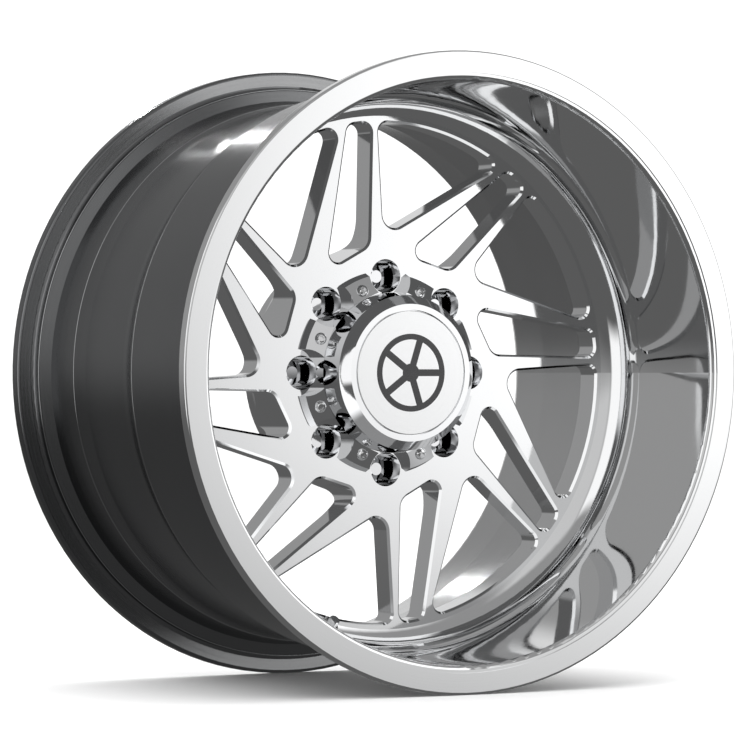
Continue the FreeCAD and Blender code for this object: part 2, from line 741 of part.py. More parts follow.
def make_weld_bead():
    """Continuous weld in the corner between the barrel and the back of the centre."""
    body = new_body("weld_bead", wheel_place())
    leg = "(rear_rim_depth - register_depth) / 3"
    revolve(body, "bead", [
        (f"inner_wall_r - {leg}", "rear_rim_depth"),
        ("inner_wall_r", "rear_rim_depth"),
        ("inner_wall_r", f"rear_rim_depth + {leg}"),
        Arc(leg, 1),
    ])
    return body


# ---- collar and cap ----------------------------------------------------------------------------------

def make_cap_collar():
    """Toothed ring: local +X is the middle of a tooth, and the scallops lie between the teeth."""
    body = new_body("cap_collar", turned_place(lug_angle(0) + 180.0 / LUGS))
    facet_fall = "tan(facet_lean * 1 deg)"
    bevel_height = f"collar_height - (collar_top_r - collar_core_r) * {facet_fall}"
    revolve(body, "blank", [
        ("collar_core_r - 0.5", "face_depth"),
        ("collar_r", "face_depth"),
        ("collar_top_r", f"face_depth - ({bevel_height})"),
        ("collar_top_r", "face_depth - collar_height"),
        ("collar_core_r - 0.5", "face_depth - collar_height"),
    ])
    doc.recompute()
    beyond_r = "collar_r + collar_height"
    above_facet = profile(body, "above_facet", [
        ("collar_core_r", "face_depth - collar_height"),
        (beyond_r, f"face_depth - collar_height + ({beyond_r} - collar_core_r) * {facet_fall}"),
        (beyond_r, "face_depth - 2 * collar_height"),
        ("collar_core_r", "face_depth - 2 * collar_height"),
    ])
    facet = pocket_through(body, above_facet)
    doc.recompute()
    repeat(body, [facet])
    doc.recompute()
    scallop = drill(body, "scallop", "scallop_r", "3 * collar_height",
                    radial_frame(math.pi / LUGS, "lug_circle_r", "face_depth - 2 * collar_height"))
    repeat(body, [scallop])
    doc.recompute()
    revolve(body, "core", [
        ("collar_ledge_r", "face_depth"),
        ("collar_core_r", "face_depth"),
        ("collar_core_r", "face_depth - collar_height"),
        ("collar_bore_r", "face_depth - collar_height"),
        ("collar_bore_r", "face_depth - collar_ledge"),
        ("collar_ledge_r", "face_depth - collar_ledge"),
    ])
    doc.recompute()
    screw = drill(body, "screw_hole", "screw_r + 0.3", "screw_length", screw_frame(0.0))
    repeat(body, [screw])
    return body


def make_cap_body():
    """Cap shell, screwed into the collar down to a fine parting line."""
    body = new_body("cap_body", wheel_place())
    plate_floor = "face_depth - cap_height + plate_thick"
    seam = "face_depth - collar_height - cap_seam"
    spigot_end = "face_depth - collar_ledge - cap_seam"
    revolve(body, "shell", [
        ("cap_inner_r", spigot_end),
        ("cap_spigot_r", spigot_end),
        ("cap_spigot_r", seam),
        ("cap_r", seam),
        ("cap_top_r", "face_depth - cap_wall_height"),
        ("cap_bevel_r", "face_depth - cap_height"),
        ("plate_space_r", "face_depth - cap_height"),
        ("plate_space_r", plate_floor),
        ("0", plate_floor),
        ("0", f"{plate_floor} + cap_wall"),
        ("cap_inner_r", f"{plate_floor} + cap_wall", "cap_wall"),
    ])
    return body


def make_cap_face_plate():
    body = new_body("cap_face_plate", wheel_place())
    revolve(body, "plate", [
        ("0", "face_depth - cap_height"),
        ("0", "face_depth - cap_height + plate_thick"),
        ("plate_r", "face_depth - cap_height + plate_thick"),
        ("plate_r", "face_depth - cap_height + plate_round"),
        Arc("plate_round", -1),
        ("plate_r - plate_round", "face_depth - cap_height"),
    ])
    return body


def make_cap_emblem():
    """Generic badge: a small spoked ring, let down on the face plate."""
    body = new_body("cap_emblem", wheel_place())
    low = "face_depth - cap_height"
    high = "face_depth - cap_height - emblem_thick"
    revolve(body, "rim", [
        ("emblem_r - emblem_ring", low),
        ("emblem_r", low),
        ("emblem_r", high),
        ("emblem_r - emblem_ring", high),
    ])
    doc.recompute()
    outline = profile(body, "spoke", [
        ("emblem_hub_r / 2", "emblem_spoke / 2"),
        ("emblem_hub_r / 2", "-emblem_spoke / 2"),
        ("emblem_r - emblem_ring / 2", "-emblem_spoke / 2"),
        ("emblem_r - emblem_ring / 2", "emblem_spoke / 2"),
    ], role="XZ_Plane")
    bind(outline, **{".AttachmentOffset.Base.z": f"-({high})"})
    spoke = body.newObject("PartDesign::Pad", f"{body.Label}_spoke_raised")
    spoke.Profile = outline
    spoke.Reversed = True
    bind(spoke, Length="emblem_thick")
    doc.recompute()
    repeat(body, [spoke], count=5)
    doc.recompute()
    revolve(body, "hub", [
        ("0", low),
        ("emblem_hub_r", low),
        ("emblem_hub_r", high),
        ("0", high),
    ])
    return body


def make_cap_seal():
    """O-ring between the centre and the base of the cap, drawn at its squeezed height."""
    seal = doc.addObject("Part::Torus", "cap_seal")
    seal.Label = "cap_seal"
    bind(seal, Radius1="ring_r", Radius2="ring_wire_r")
    centre = wheel_place().Base + FreeCAD.Vector(0, value_of("face_depth + ring_wire_r"), 0)
    seal.Placement = FreeCAD.Placement(centre, FreeCAD.Rotation(FreeCAD.Vector(1, 0, 0), -90))
    return seal


def make_screw(index):
    """Button head socket screw, its seat at local y = 0 and its shank along +Y."""
    body = doc.addObject("PartDesign::Body", f"collar_screw_{index}")
    revolve(body, "turned", [
        ("0", "-screw_head"),
        ("screw_socket_r + 0.5", "-screw_head"),
        Arc("screw_head_r", 1),
        ("screw_head_r", "-screw_head / 4"),
        ("screw_head_r", "0"),
        ("screw_r", "0"),
        ("screw_r", "screw_length - screw_r / 3"),
        ("screw_r * 2 / 3", "screw_length"),
        ("0", "screw_length"),
    ])
    doc.recompute()
    socket = body.newObject("PartDesign::SubtractivePrism", f"{body.Name}_socket")
    socket.Polygon = 6
    socket.Placement = FreeCAD.Placement(FreeCAD.Vector(0, -value_of("screw_head + 1"), 0),
                                         FreeCAD.Rotation(FreeCAD.Vector(1, 0, 0), -90))
    bind(socket, Circumradius="screw_socket_r", Height="screw_socket + 1")
    angle = math.radians(lug_angle(index) + 180.0 / LUGS)
    body.Placement = wheel_place().multiply(screw_frame(angle))
    return body


def make_collar_screws():
    screws = [make_screw(index) for index in range(LUGS)]
    group = doc.addObject("Part::Compound", "collar_screws")
    group.Label = "collar_screws"
    group.Links = screws
    return group


# ---- lug nuts ----------------------------------------------------------------------------------------

def make_lug_nut(index):
    """Closed hexagon nut with a 60 degree cone seat."""
    body = new_body(f"lug_nut_{index + 1}", lug_place(index))
    corner_r = "nut_flat / cos(30 deg)"
    cone_start_r = "lug_seat_r - nut_gap"
    cone_end_r = "lug_hole_r - nut_gap + 0.15"
    cone_height = f"({cone_start_r} - ({cone_end_r})) / {CONE_SEAT_SLOPE}"
    collar_top = "lug_floor_depth - 0.4 - nut_collar"
    revolve(body, "blank", [
        ("0", "nut_top_depth"),
        ("nut_crown_r", "nut_top_depth"),
        (corner_r, "nut_top_depth + nut_crown"),
        (corner_r, collar_top),
        ("nut_collar_r", f"{collar_top} + 0.4"),
        ("nut_collar_r", "lug_floor_depth - 0.4"),
        (cone_start_r, "lug_floor_depth - 0.4"),
        (cone_start_r, "lug_floor_depth"),
        (cone_end_r, f"lug_floor_depth + {cone_height}"),
        ("nut_thread_r", f"lug_floor_depth + {cone_height}"),
        ("nut_thread_r", "nut_thread_top_depth + nut_thread_r / 2"),
        ("0", "nut_thread_top_depth"),
    ])
    doc.recompute()
    beyond_flat = profile(body, "beyond_flat", [
        ("nut_flat", "nut_top_depth - 1"),
        ("nut_flat", collar_top),
        ("nut_flat + nut_collar_r", collar_top),
        ("nut_flat + nut_collar_r", "nut_top_depth - 1"),
    ])
    flat = pocket_through(body, beyond_flat)
    doc.recompute()
    repeat(body, [flat], count=6)
    return body


# ---- tyre valve --------------------------------------------------------------------------------------

def turned_valve_part(label, items):
    body = new_body(label, valve_place(wheel_place().Base))
    revolve(body, "turned", items)
    return body


def ring(inner_r, outer_r, top, bottom):
    """Outline of a plain ring between two distances along the axis."""
    return [(inner_r, top), (outer_r, top), (outer_r, bottom), (inner_r, bottom)]


def make_valve_stem():
    head_seat = "valve_rear_floor + grommet_thick"
    return turned_valve_part("valve_stem", [
        ("stem_r - 0.6", "-stem_proud"),
        ("stem_r", "0.6 - stem_proud"),
        ("stem_r", head_seat),
        ("stem_head_r", head_seat),
        ("stem_head_r", f"{head_seat} + stem_head", "stem_head / 3"),
        ("air_r", f"{head_seat} + stem_head"),
        ("air_r", "core_bore_end + 1"),
        ("core_bore_r", "core_bore_end"),
        ("core_bore_r", "-stem_proud"),
    ])


def make_valve_core_body():
    return turned_valve_part("valve_core_body", [
        ("spring_space_r", "-core_top"),
        ("core_r", "-core_top"),
        ("core_r", "core_end"),
        ("pin_guide_r", "core_end"),
        ("pin_guide_r", "spring_space_end"),
        ("spring_space_r", "spring_space_end"),
    ])


def make_valve_core_pin():
    seal_end = "core_end + 4 * pin_collar"
    return turned_valve_part("valve_core_pin", [
        ("0", "-pin_top"),
        ("pin_r", "-pin_top"),
        ("pin_r", "-pin_collar_top"),
        ("pin_collar_r", "-pin_collar_top"),
        ("pin_collar_r", "pin_collar - pin_collar_top"),
        ("pin_r", "pin_collar - pin_collar_top"),
        ("pin_r", seal_end),
        ("pin_collar_r", seal_end),
        ("pin_collar_r", f"{seal_end} + pin_collar"),
        ("pin_r", f"{seal_end} + pin_collar"),
        ("pin_r", "pin_end"),
        ("0", "pin_end"),
    ])


def make_valve_core_spring():
    """Helical spring that hangs from the pin's upper collar."""
    body = new_body("valve_core_spring", valve_place(wheel_place().Base))
    top = "pin_collar - pin_collar_top + spring_wire_r + 0.02"
    wire = circle(body, "wire", "spring_coil_r", top, "spring_wire_r", role="XY_Plane")
    coil = body.newObject("PartDesign::AdditiveHelix", "valve_spring_coil")
    coil.Profile = wire
    coil.ReferenceAxis = (wire, ["V_Axis"])
    coil.Mode = "pitch-height-angle"
    bind(coil, Pitch="spring_pitch", Height="spring_length")
    return body


def make_valve_nut():
    body = new_body("valve_nut", valve_place(wheel_place().Base))
    bottom = "valve_front_floor - washer_thick"
    corner_r = "valve_nut_flat / cos(30 deg)"
    revolve(body, "blank", [
        ("stem_r + 0.05", f"{bottom} - valve_nut"),
        ("valve_nut_flat", f"{bottom} - valve_nut"),
        (corner_r, f"{bottom} - valve_nut * 7 / 8"),
        (corner_r, bottom),
        ("stem_r + 0.05", bottom),
    ])
    doc.recompute()
    beyond_flat = profile(body, "beyond_flat", ring(
        "valve_nut_flat", "2 * valve_nut_flat", f"{bottom} - valve_nut - 1", f"{bottom} + 1"))
    flat = pocket_through(body, beyond_flat)
    doc.recompute()
    repeat(body, [flat], count=6)
    return body


def make_valve_cap():
    body = turned_valve_part("valve_cap", [
        ("dust_cap_bore_r", "dust_cap_open"),
        ("dust_cap_r - 0.3", "dust_cap_open"),
        ("dust_cap_r", "dust_cap_open - 0.6"),
        ("dust_cap_r", "-dust_cap_top + 0.9"),
        ("dust_cap_r - 0.9", "-dust_cap_top"),
        ("0", "-dust_cap_top"),
        ("0", "-dust_cap_seat"),
        ("dust_cap_bore_r", "-dust_cap_seat"),
    ])
    doc.recompute()
    notch = drill(body, "knurl", "knurl_r", "dust_cap_top", at(
        "dust_cap_r + 0.1", "-dust_cap_top - 1", "0"))
    repeat(body, [notch], count=24)
    return body


def make_valve():
    washer_top = "valve_front_floor - washer_thick"
    grommet_end = "valve_rear_floor + grommet_thick"
    return [
        make_valve_stem(),
        turned_valve_part("valve_grommet", ring("stem_r", "stem_head_r", "valve_rear_floor", grommet_end)),
        turned_valve_part("valve_washer", ring("stem_r + 0.1", "washer_r", washer_top,
                                               "valve_front_floor")),
        make_valve_nut(),
        make_valve_core_body(),
        turned_valve_part("valve_core_gasket", ring("pin_collar_r + 0.35", "core_r", "core_end",
                                                    "core_bore_end - 0.1")),
        make_valve_core_pin(),
        turned_valve_part("valve_pin_seal", ring("pin_r", "pin_collar_r", "core_end + 0.05",
                                                 "core_end + 4 * pin_collar")),
        make_valve_core_spring(),
        make_valve_cap(),
        turned_valve_part("valve_cap_seal", ring("0", "stem_r - 0.2", "0.1 - dust_cap_seat",
                                                 "-stem_proud - 0.05")),
    ]


# ---- assembly ----------------------------------------------------------------------------------------

def make_parts():
    parts = [make_barrel(), make_spoke_centre(), make_weld_bead(), make_cap_collar(), make_cap_body()]
    parts += [make_cap_face_plate(), make_cap_emblem(), make_cap_seal(), make_collar_screws()]
    parts += [make_lug_nut(index) for index in range(LUGS)]
    parts += make_valve()
    doc.recompute()
    return parts


def check(parts):
    for item in doc.Objects:
        if "Invalid" in item.State or "Error" in item.State:
            raise RuntimeError(f"{item.Label}: {item.State}")
    for part in parts:
        if part.Shape.isNull() or not part.Shape.isValid() or not part.Shape.Solids:
            raise RuntimeError(f"{part.Label} has no valid solid")


def write(parts):
    os.makedirs("parts", exist_ok=True)
    for part in parts:
        part.Shape.exportStep(f"parts/{part.Label}.step")
        box = part.Shape.BoundBox
        print(f"{part.Label}: {len(part.Shape.Solids)} solid(s), {part.Shape.Volume:.1f} mm3, "
              f"x {box.XMin:.1f}..{box.XMax:.1f}, y {box.YMin:.1f}..{box.YMax:.1f}, "
              f"z {box.ZMin:.1f}..{box.ZMax:.1f}")


wheel_parts = make_parts()
check(wheel_parts)
write(wheel_parts)
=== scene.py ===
"""Looks of a polished, forged racing wheel.

The CAD nodes get procedural materials, and the barrel gets four thin raised lines; three of them,
in a metal lighter than the barrel, are painted highlights along its creases. Round them
stand a studio that only reflections see, a plain floor, three lights and the camera.
"""

import math

import bmesh
import bpy
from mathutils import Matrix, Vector


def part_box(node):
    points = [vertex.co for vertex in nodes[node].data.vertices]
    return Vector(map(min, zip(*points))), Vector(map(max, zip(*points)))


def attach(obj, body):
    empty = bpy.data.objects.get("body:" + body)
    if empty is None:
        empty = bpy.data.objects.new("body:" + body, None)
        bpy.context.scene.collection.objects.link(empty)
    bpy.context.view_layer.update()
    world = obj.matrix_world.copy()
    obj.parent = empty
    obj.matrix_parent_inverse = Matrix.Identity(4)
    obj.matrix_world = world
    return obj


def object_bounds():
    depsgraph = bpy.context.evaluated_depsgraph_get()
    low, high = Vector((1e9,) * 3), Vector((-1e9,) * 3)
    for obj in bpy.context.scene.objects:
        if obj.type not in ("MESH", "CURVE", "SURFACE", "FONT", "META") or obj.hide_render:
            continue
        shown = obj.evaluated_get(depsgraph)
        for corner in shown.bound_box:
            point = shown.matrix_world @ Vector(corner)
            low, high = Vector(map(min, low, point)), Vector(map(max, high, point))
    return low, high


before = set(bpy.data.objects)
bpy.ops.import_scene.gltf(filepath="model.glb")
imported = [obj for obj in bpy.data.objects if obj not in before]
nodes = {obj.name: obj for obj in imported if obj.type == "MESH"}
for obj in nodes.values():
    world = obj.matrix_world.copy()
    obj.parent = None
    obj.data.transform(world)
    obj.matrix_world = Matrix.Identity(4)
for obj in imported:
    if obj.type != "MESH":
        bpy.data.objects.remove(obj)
cad_box = [list(corner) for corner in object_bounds()]
scene = bpy.context.scene

MM = 0.001
FRONT_Y = cad_box[0][1]
DISC_FACE_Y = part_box("cap_collar")[1].y


# ---------------------------------------------------------------- node helpers


class Graph:
    """Short calls for the nodes that the materials and the studio share.

    A value is a socket or a constant, which is set on the socket itself.
    """

    def __init__(self, tree):
        self.tree = tree
        tree.nodes.clear()

    def _feed(self, socket, value):
        if isinstance(value, bpy.types.NodeSocket):
            self.tree.links.new(value, socket)
        else:
            socket.default_value = value

    def math(self, operation, first, second=0.0):
        node = self.tree.nodes.new("ShaderNodeMath")
        node.operation = operation
        self._feed(node.inputs[0], first)
        self._feed(node.inputs[1], second)
        return node.outputs[0]

    def weigh(self, first, second, share):
        """Adds two values, the first by its share and the second by the rest."""
        first = self.math("MULTIPLY", first, share)
        second = self.math("MULTIPLY", second, 1.0 - share)
        return self.math("ADD", first, second)

    def span(self, value, start, end, low=0.0, high=1.0):
        """Maps start..end to low..high, with a smooth step, and holds the ends."""
        node = self.tree.nodes.new("ShaderNodeMapRange")
        node.interpolation_type = "SMOOTHSTEP"
        self._feed(node.inputs["Value"], value)
        node.inputs["From Min"].default_value = start
        node.inputs["From Max"].default_value = end
        node.inputs["To Min"].default_value = low
        node.inputs["To Max"].default_value = high
        return node.outputs["Result"]

    def window(self, value, start, end, blur):
        """One between two angles in degrees and zero outside, with soft edges."""
        start, end, half = (math.radians(angle) for angle in (start, end, blur / 2))
        opening = self.span(value, start - half, start + half)
        closing = self.span(value, end - half, end + half, 1.0, 0.0)
        return self.math("MULTIPLY", opening, closing)

    def _blend(self, kind, sockets, factor, first, second):
        """A mix node of one kind: the numbers of its two inputs and its output."""
        node = self.tree.nodes.new("ShaderNodeMix")
        node.data_type = kind
        first_input, second_input, output = sockets
        self._feed(node.inputs["Factor"], factor)
        self._feed(node.inputs[first_input], first)
        self._feed(node.inputs[second_input], second)
        return node.outputs[output]

    def mix(self, factor, first, second):
        """Mixes two numbers."""
        return self._blend("FLOAT", (2, 3, 0), factor, first, second)

    def mix_vector(self, factor, first, second):
        return self._blend("VECTOR", (4, 5, 1), factor, first, second)

    def mix_colour(self, factor, first, second):
        """Mixes two colours, each a socket or three numbers."""
        first, second = (
            (*colour, 1) if isinstance(colour, tuple) else colour for colour in (first, second)
        )
        return self._blend("RGBA", (6, 7, 2), factor, first, second)

    def vector(self, x, y, z):
        node = self.tree.nodes.new("ShaderNodeCombineXYZ")
        for socket, value in zip(node.inputs, (x, y, z)):
            self._feed(socket, value)
        return node.outputs[0]

    def parts(self, vector):
        node = self.tree.nodes.new("ShaderNodeSeparateXYZ")
        self.tree.links.new(vector, node.inputs[0])
        return node.outputs

    def radius(self, position):
        """Distance from the wheel's axis, in metres."""
        x, _, z = self.parts(position)
        square = self.math("ADD", self.math("MULTIPLY", x, x), self.math("MULTIPLY", z, z))
        return self.math("SQRT", square)

    def noise(self, vector, scale, detail=3.0, roughness=0.5):
        node = self.tree.nodes.new("ShaderNodeTexNoise")
        self.tree.links.new(vector, node.inputs["Vector"])
        node.inputs["Scale"].default_value = scale
        node.inputs["Detail"].default_value = detail
        node.inputs["Roughness"].default_value = roughness
        return node.outputs["Fac"]

    def bump(self, height, depth, strength=1.0, under=None):
        """Bump of a depth in metres, over another normal where one is given."""
        node = self.tree.nodes.new("ShaderNodeBump")
        node.inputs["Strength"].default_value = strength
        node.inputs["Distance"].default_value = depth
        self.tree.links.new(height, node.inputs["Height"])
        if under is not None:
            self.tree.links.new(under, node.inputs["Normal"])
        return node.outputs["Normal"]


class Shade(Graph):
    """One material: a principled shader, with the object's own coordinates at hand."""

    # How far the rings of a turned surface change along the way round it.
    RING_DRIFT = 0.02

    def __init__(self, name, **constants):
        self.material = bpy.data.materials.new(name)
        self.material.use_nodes = True
        super().__init__(self.material.node_tree)
        output = self.tree.nodes.new("ShaderNodeOutputMaterial")
        self.shader = self.tree.nodes.new("ShaderNodeBsdfPrincipled")
        self.tree.links.new(self.shader.outputs["BSDF"], output.inputs["Surface"])
        for socket, value in constants.items():
            self.shader.inputs[socket.replace("_", " ")].default_value = value
        coordinates = self.tree.nodes.new("ShaderNodeTexCoord")
        self.position = coordinates.outputs["Object"]
        self.normal = coordinates.outputs["Normal"]

    def finish(self, colour, roughness, normal=None):
        """Links the shader's colour, roughness and bumped normal, and returns the material."""
        links = {"Base Color": colour, "Roughness": roughness, "Normal": normal}
        for socket, value in links.items():
            if value is not None:
                self.tree.links.new(value, self.shader.inputs[socket])
        return self.material

    def grain(self, scale, detail=3.0, roughness=0.5):
        """Noise over the object's own coordinates."""
        return self.noise(self.position, scale, detail, roughness)

    def lathe(self, scale):
        """Noise in fine rings round the wheel's axis, as turning and spin polishing leave it."""
        x, y, _ = self.parts(self.position)
        drift = self.math("MULTIPLY", x, self.RING_DRIFT)
        rings = self.vector(self.radius(self.position), y, drift)
        return self.noise(rings, scale, detail=4.0, roughness=0.6)


def paint(names, material):
    """Gives a material to every slot of the named CAD nodes."""
    for name in names:
        for slot in nodes[name].material_slots:
            slot.material = material


# ---------------------------------------------------------------- materials

# Bump depths in metres.
POLISH_DEPTH = 0.02 * MM
PLATING_DEPTH = 0.03 * MM
RUBBER_DEPTH = 0.05 * MM
WELD_DEPTH = 0.4 * MM

WELD_RIPPLES_PER_RADIAN = 520.0

# The barrel is bright from its front to between these depths behind the flange face, and inside
# the lip to between these depths behind the disc's face, in millimetres.
FLANGE_BRIGHT = (13.2, 12.4)
LIP_BRIGHT = (8, 4)


def polish(shade, rough_low, rough_high, ring_strength):
    """Roughness and bump of hand-polished aluminium: clouds, haze and turning rings."""
    clouds = shade.grain(14.0, detail=4.0, roughness=0.55)
    haze = shade.grain(160.0, detail=3.0, roughness=0.6)
    rings = shade.lathe(900.0)
    roughness = shade.span(shade.weigh(clouds, haze, 0.6), 0.3, 0.75, rough_low, rough_high)
    return roughness, shade.bump(rings, POLISH_DEPTH, ring_strength)


def polished_metal():
    """The spoke centre's mirror polish."""
    shade = Shade("polished_aluminium", Metallic=1.0)
    roughness, normal = polish(shade, 0.035, 0.075, 0.12)
    tone = shade.grain(5.0, detail=2.0)
    colour = shade.mix_colour(tone, (0.84, 0.845, 0.855), (0.93, 0.935, 0.94))
    return shade.finish(colour, roughness, normal)


def barrel_metal():
    """Polished inside the lip and on the flange, satin everywhere else. The satin is dark where
    it faces out and light grey where it faces in: partly the outside's own darker finish, partly
    painted shade for the dim room that the outside reflects.
    """
    shade = Shade("barrel_finish", Metallic=1.0)
    x, y, z = shade.parts(shade.position)
    normal_x, _, normal_z = shade.parts(shade.normal)
    outward = shade.math(
        "ADD", shade.math("MULTIPLY", normal_x, x), shade.math("MULTIPLY", normal_z, z)
    )
    outward = shade.math("DIVIDE", outward, shade.radius(shade.position))
    inner = shade.span(outward, 0.05, -0.05)
    front = shade.span(y, *(FRONT_Y + depth * MM for depth in FLANGE_BRIGHT))
    lip = shade.span(y, *(DISC_FACE_Y + depth * MM for depth in LIP_BRIGHT))
    bright = shade.math("MAXIMUM", front, shade.math("MULTIPLY", inner, lip))
    mirror_rough, mirror_normal = polish(shade, 0.03, 0.07, 0.1)

    grain = shade.grain(420.0, detail=5.0, roughness=0.65)
    clouds = shade.grain(9.0)
    # Dark outside, light grey inside: partly a darker finish outside, partly painted shade for
    # the dim room it reflects.
    outside_finish_and_shade = shade.mix_colour(clouds, (0.19, 0.193, 0.197), (0.24, 0.243, 0.248))
    inside_tone = shade.mix_colour(clouds, (0.64, 0.645, 0.65), (0.74, 0.745, 0.75))
    satin = shade.mix_colour(inner, outside_finish_and_shade, inside_tone)
    rings = shade.lathe(420.0)
    satin_rough = shade.span(shade.math("ADD", grain, rings), 0.7, 1.3, 0.17, 0.25)
    grain_normal = shade.bump(grain, POLISH_DEPTH, 0.12)
    satin_normal = shade.bump(rings, PLATING_DEPTH, 0.12, grain_normal)

    return shade.finish(
        shade.mix_colour(bright, satin, (0.9, 0.905, 0.91)),
        shade.mix(bright, satin_rough, mirror_rough),
        shade.mix_vector(bright, satin_normal, mirror_normal),
    )


def chrome(name, low, high, rough_low, rough_high, ripple):
    """Plated metal: a clear mirror with a faint orange peel and fine handling haze."""
    shade = Shade(name, Metallic=1.0)
    tone = shade.grain(30.0, detail=2.0)
    peel = shade.grain(260.0, detail=2.0, roughness=0.4)
    haze = shade.grain(900.0, detail=4.0, roughness=0.7)
    return shade.finish(
        shade.mix_colour(tone, low, high),
        shade.span(haze, 0.35, 0.75, rough_low, rough_high),
        shade.bump(peel, PLATING_DEPTH, ripple),
    )


def spun_plate():
    """The satin cap face: spun rings round the wheel's axis."""
    shade = Shade("spun_plate", Metallic=1.0)
    rings = shade.lathe(2600.0)
    both = shade.weigh(rings, shade.grain(1500.0, detail=3.0, roughness=0.6), 0.7)
    return shade.finish(
        shade.mix_colour(both, (0.86, 0.865, 0.87), (0.93, 0.935, 0.94)),
        shade.span(both, 0.3, 0.7, 0.08, 0.15),
        shade.bump(rings, PLATING_DEPTH, 0.3),
    )


def weld():
    """The bead that joins disc and barrel: ripples along its run, with heat tint."""
    shade = Shade("weld_bead_metal", Metallic=1.0)
    x, _, z = shade.parts(shade.position)
    turn = shade.math("ARCTAN2", x, z)
    ripples = shade.math("SINE", shade.math("MULTIPLY", turn, WELD_RIPPLES_PER_RADIAN))
    blotch = shade.grain(90.0)
    return shade.finish(
        shade.mix_colour(blotch, (0.36, 0.35, 0.34), (0.6, 0.6, 0.61)),
        shade.span(blotch, 0.3, 0.7, 0.25, 0.5),
        shade.bump(ripples, WELD_DEPTH, 0.7),
    )


def black_gloss():
    """The emblem's enamel."""
    shade = Shade("emblem_black_enamel", Metallic=0.0, Coat_Weight=0.6)
    peel = shade.grain(700.0, detail=2.0)
    return shade.finish(
        shade.mix_colour(peel, (0.008, 0.008, 0.009), (0.02, 0.02, 0.022)),
        shade.span(peel, 0.3, 0.7, 0.16, 0.3),
        shade.bump(peel, PLATING_DEPTH, 0.4),
    )


def rubber():
    """Seals and grommet: a dull bloom and fine pores."""
    shade = Shade("moulded_rubber", Metallic=0.0)
    pores = shade.grain(1800.0, detail=4.0, roughness=0.7)
    bloom = shade.grain(120.0)
    return shade.finish(
        shade.mix_colour(bloom, (0.012, 0.012, 0.013), (0.035, 0.035, 0.036)),
        shade.span(bloom, 0.3, 0.7, 0.5, 0.75),
        shade.bump(pores, RUBBER_DEPTH, 0.6),
    )


# Each plated finish: its dark and light tones, its roughness from and to, and its ripple.
PLATED = {
    "mirror_chrome": ((0.86, 0.865, 0.875), (0.93, 0.935, 0.945), 0.02, 0.05, 0.08),
    "screw_chrome": ((0.92, 0.925, 0.935), (0.98, 0.985, 0.99), 0.1, 0.2, 0.12),
    "nut_black_chrome": ((0.8, 0.805, 0.815), (0.9, 0.905, 0.92), 0.03, 0.08, 0.1),
    "valve_nickel": ((0.6, 0.6, 0.59), (0.72, 0.715, 0.7), 0.08, 0.2, 0.15),
    "core_brass": ((0.66, 0.48, 0.22), (0.78, 0.6, 0.3), 0.12, 0.3, 0.2),
    "spring_wire": ((0.4, 0.4, 0.41), (0.55, 0.55, 0.56), 0.15, 0.3, 0.2),
    # Lighter than the barrel's satin: painted highlight for the three lines along the barrel's
    # creases.
    "painted_highlight_line_metal": ((0.42, 0.425, 0.43), (0.55, 0.555, 0.56), 0.08, 0.16, 0.1),
}
plated = {name: chrome(name, *finish) for name, finish in PLATED.items()}

NUTS = [f"lug_nut_{index}" for index in range(1, 9)]
RUBBERS = ["cap_seal", "valve_grommet", "valve_core_gasket", "valve_pin_seal", "valve_cap_seal"]

paint(["barrel"], barrel_metal())
paint(["spoke_centre"], polished_metal())
paint(["weld_bead"], weld())
paint(["cap_body", "cap_collar"], plated["mirror_chrome"])
paint(["cap_face_plate"], spun_plate())
paint(["cap_emblem"], black_gloss())
paint(RUBBERS, rubber())
paint(["collar_screws"], plated["screw_chrome"])
paint(NUTS + ["valve_cap"], plated["nut_black_chrome"])
paint(["valve_stem", "valve_washer", "valve_nut"], plated["valve_nickel"])
paint(["valve_core_body", "valve_core_pin"], plated["core_brass"])
paint(["valve_core_spring"], plated["spring_wire"])


# ---------------------------------------------------------------- small raised lines: a real seam and three painted highlights

RING_STEPS = 256
WIRE_STEPS = 10


def ring_piece(name, radius, y, wire, material, body):
    """A thin raised ring round the wheel's axis, made as a swept loop."""
    mesh = bpy.data.meshes.new(name)
    build = bmesh.new()
    loops = []
    for step in range(RING_STEPS):
        turn = math.tau * step / RING_STEPS
        loop = []
        for part in range(WIRE_STEPS):
            angle = math.tau * part / WIRE_STEPS
            reach = radius + wire * math.cos(angle)
            along = y + wire * math.sin(angle)
            place = (reach * math.sin(turn), along, reach * math.cos(turn))
            loop.append(build.verts.new(place))
        loops.append(loop)
    for step in range(RING_STEPS):
        near, far = loops[step], loops[(step + 1) % RING_STEPS]
        for part in range(WIRE_STEPS):
            after = (part + 1) % WIRE_STEPS
            face = build.faces.new((near[part], near[after], far[after], far[part]))
            face.smooth = True
    bmesh.ops.recalc_face_normals(build, faces=build.faces)
    build.to_mesh(mesh)
    build.free()
    piece = bpy.data.objects.new(name, mesh)
    scene.collection.objects.link(piece)
    mesh.materials.append(material)
    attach(piece, body)
    return piece


# Each line: its radius, its depth behind the flange face and its wire's radius in millimetres,
# then its finish and its slot.
LINES = {
    "lip_seam_line": (240.5, 130.5, 0.35, "mirror_chrome", "polished_metal"),
    # The three barrel lines are thin raised wires, lighter than the barrel: painted highlights
    # along its creases.
    "barrel_shoulder_highlight_line": (250.0, 143.0, 0.5, "painted_highlight_line_metal", "barrel_metal"),
    "barrel_crease_highlight_line": (242.8, 269.0, 0.5, "painted_highlight_line_metal", "barrel_metal"),
    "barrel_hump_highlight_line": (258.0, 307.6, 0.6, "painted_highlight_line_metal", "barrel_metal"),
}
for name, (radius, depth, wire, finish, slot_name) in LINES.items():
    place_y = FRONT_Y + depth * MM
    ring_piece(name, radius * MM, place_y, wire * MM, plated[finish], "wheel")


# ---------------------------------------------------------------- studio

